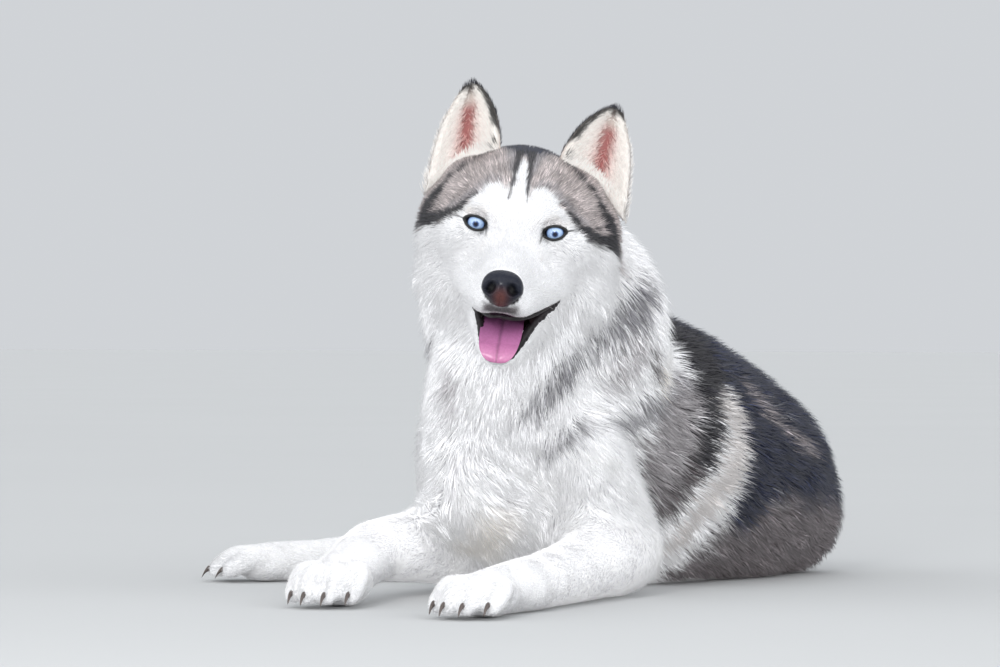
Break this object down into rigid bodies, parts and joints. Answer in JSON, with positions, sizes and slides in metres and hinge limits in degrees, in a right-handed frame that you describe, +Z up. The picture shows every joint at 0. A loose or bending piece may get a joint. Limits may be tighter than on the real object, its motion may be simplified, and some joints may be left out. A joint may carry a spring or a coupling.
{
  "type": "dog figure",
  "caption": "Life-size still model of a lying husky, head up, mouth open, with ruff, cupped ears and a tail brush curled on the floor.",
  "frame": {"origin": "on the floor, below the middle of the whole dog's box", "axes": "-Y is the way the body faces, +X its own left, +Z up"},
  "size_m": [0.5366, 0.8792, 0.4547],
  "materials": {
    "white_coat": "dense double coat, white",
    "grey_coat": "dense double coat, grey to black with white bands",
    "ear_coat": "short plush coat, cream inside, dark rim",
    "nose_leather": "moist, fine grain",
    "tongue": "moist, fine grain",
    "eye": "polished, pale blue iris"
  },
  "bodies": {
    "root": {"head": "white_coat", "jaw": "white_coat", "nose": "nose_leather", "tongue": "tongue", "ear_left": "ear_coat", "ear_right": "ear_coat", "eye_left": "eye", "eye_right": "eye", "neck": "white_coat", "torso": "grey_coat", "foreleg_left": "white_coat", "foreleg_right": "white_coat", "forepaw_left": "white_coat", "forepaw_right": "white_coat", "hindleg_left": "grey_coat", "hindleg_right": "grey_coat", "hindfoot_left": "white_coat", "hindfoot_right": "white_coat", "tail_base": "grey_coat", "tail_end": "grey_coat"}
  },
  "joints": []
}
